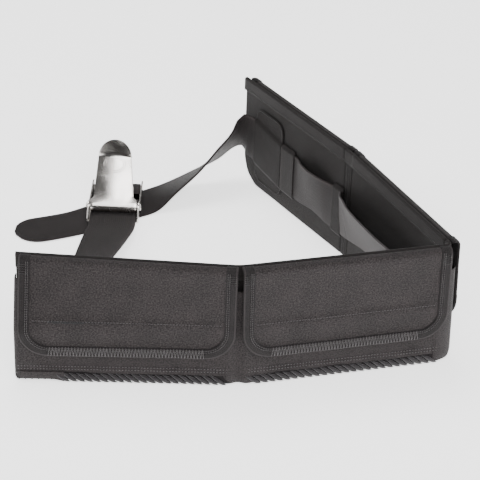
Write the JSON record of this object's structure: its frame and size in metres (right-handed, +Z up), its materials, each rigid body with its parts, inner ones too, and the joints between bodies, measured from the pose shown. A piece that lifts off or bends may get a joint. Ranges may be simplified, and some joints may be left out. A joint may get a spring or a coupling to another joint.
{
  "type": "dive weight belt",
  "caption": "Fabric dive weight belt of linked flap pockets with drain mesh, keepers, 50 mm webbing and a stainless cam-lever buckle, laid out open and unbuckled.",
  "frame": {"origin": "centre of the bounding box's bottom face, on the surface that the belt stands on", "axes": "+Z up, along the pockets' height; +X along the front pocket with the buckle's strap, towards the folded corner; -Y faces the front pockets' outer side"},
  "size_m": [0.4478, 0.4254, 0.124],
  "materials": {
    "pack_cloth": "matt woven nylon pack cloth",
    "lining_cloth": "matt woven nylon lining",
    "edge_tape": "grosgrain binding tape, stitched",
    "webbing": "ribbed polypropylene webbing",
    "drain_mesh": "coarse open net",
    "hook_and_loop": "hook-and-loop tape",
    "stainless_steel": "polished stainless sheet"
  },
  "bodies": {
    "pocket_1": {"pocket_1_back_panel": "lining_cloth", "pocket_1_top_binding": "edge_tape", "pocket_1_front_panel": "pack_cloth", "pocket_1_drain_mesh": "drain_mesh", "pocket_1_loop_tape": "hook_and_loop", "webbing_1": "webbing", "end_keeper_1": "edge_tape", "stop_keeper_1": "edge_tape", "buckle_frame": "stainless_steel", "buckle_pin": "stainless_steel"},
    "pocket_2": {"pocket_2_back_panel": "lining_cloth", "pocket_2_top_binding": "edge_tape", "pocket_2_front_panel": "pack_cloth", "pocket_2_drain_mesh": "drain_mesh", "pocket_2_loop_tape": "hook_and_loop", "webbing_2": "webbing", "seam_keeper_2": "edge_tape"},
    "pocket_3": {"pocket_3_back_panel": "lining_cloth", "pocket_3_top_binding": "edge_tape", "pocket_3_front_panel": "pack_cloth", "pocket_3_drain_mesh": "drain_mesh", "pocket_3_loop_tape": "hook_and_loop", "webbing_3": "webbing", "seam_keeper_3": "edge_tape"},
    "pocket_4": {"pocket_4_back_panel": "lining_cloth", "pocket_4_top_binding": "edge_tape", "pocket_4_front_panel": "pack_cloth", "pocket_4_drain_mesh": "drain_mesh", "pocket_4_loop_tape": "hook_and_loop", "webbing_4": "webbing", "seam_keeper_4": "edge_tape", "end_keeper_4": "edge_tape", "stop_keeper_4": "edge_tape"},
    "flap_1": {"pocket_1_flap": "pack_cloth", "pocket_1_flap_edge_tape": "edge_tape", "pocket_1_hook_tape": "hook_and_loop"},
    "flap_2": {"pocket_2_flap": "pack_cloth", "pocket_2_flap_edge_tape": "edge_tape", "pocket_2_hook_tape": "hook_and_loop"},
    "flap_3": {"pocket_3_flap": "pack_cloth", "pocket_3_flap_edge_tape": "edge_tape", "pocket_3_hook_tape": "hook_and_loop"},
    "flap_4": {"pocket_4_flap": "pack_cloth", "pocket_4_flap_edge_tape": "edge_tape", "pocket_4_hook_tape": "hook_and_loop"},
    "lever": {"buckle_lever": "stainless_steel"}
  },
  "joints": [
    {"name": "fold_1_2", "type": "hinge", "parent": "pocket_2", "child": "pocket_1", "pos_m": [0.01749, -0.19748, 0.062], "axis": [0, 0, 1], "range_deg": [0, 18.2]},
    {"name": "fold_2_3", "type": "hinge", "parent": "pocket_2", "child": "pocket_3", "pos_m": [0.21059, -0.14538, 0.062], "axis": [0, 0, 1], "range_deg": [-100.2, 0]},
    {"name": "fold_3_4", "type": "hinge", "parent": "pocket_3", "child": "pocket_4", "pos_m": [0.12512, 0.03544, 0.062], "axis": [0, 0, 1], "range_deg": [-6.6, 0]},
    {"name": "flap_1_hinge", "type": "hinge", "parent": "pocket_1", "child": "flap_1", "pos_m": [-0.08258, -0.19606, 0.124], "axis": [-0.9985, 0.0541, 0], "range_deg": [0, 110]},
    {"name": "flap_2_hinge", "type": "hinge", "parent": "pocket_2", "child": "flap_2", "pos_m": [0.11508, -0.17529, 0.124], "axis": [-0.9655, -0.2605, 0], "range_deg": [0, 110]},
    {"name": "flap_3_hinge", "type": "hinge", "parent": "pocket_3", "child": "flap_3", "pos_m": [0.17147, -0.05326, 0.124], "axis": [0.4274, -0.9041, 0], "range_deg": [0, 110]},
    {"name": "flap_4_hinge", "type": "hinge", "parent": "pocket_4", "child": "flap_4", "pos_m": [0.07567, 0.12245, 0.124], "axis": [0.5284, -0.849, 0], "range_deg": [0, 110]},
    {"name": "lever_hinge", "type": "hinge", "parent": "pocket_1", "child": "lever", "pos_m": [-0.12091, 0.09752, 0.0166], "axis": [1, 0, 0], "range_deg": [-60, 65]}
  ]
}
